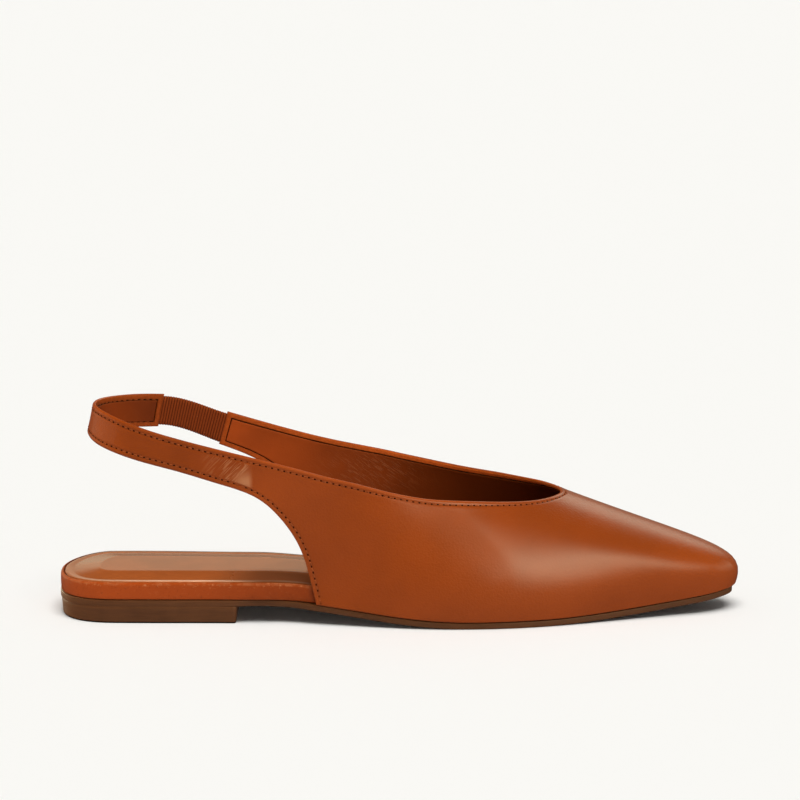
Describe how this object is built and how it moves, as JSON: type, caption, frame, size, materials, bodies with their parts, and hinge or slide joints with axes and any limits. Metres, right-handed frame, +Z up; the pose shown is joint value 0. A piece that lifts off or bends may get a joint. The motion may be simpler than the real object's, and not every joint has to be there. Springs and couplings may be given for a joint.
{
  "type": "slingback shoe",
  "caption": "Flat slingback shoe in smooth leather with a pointed closed toe, open heel and waist, a strap round the back of the heel with an elastic gore, and a low heel block.",
  "frame": {"origin": "middle of the shoe's plan box, on the floor", "axes": "+X towards the toe, +Y towards the medial side, +Z up"},
  "size_m": [0.2648, 0.0774, 0.0815],
  "materials": {
    "upper_leather": "smooth tan leather, satin",
    "insole_leather": "smooth tan leather, semi gloss",
    "outsole": "dark brown, satin",
    "heel": "dark brown, satin",
    "elastic": "ribbed woven elastic, matt"
  },
  "bodies": {
    "root": {"upper": "upper_leather", "insole": "insole_leather", "outsole": "outsole", "heel": "heel", "elastic": "elastic"}
  },
  "joints": []
}
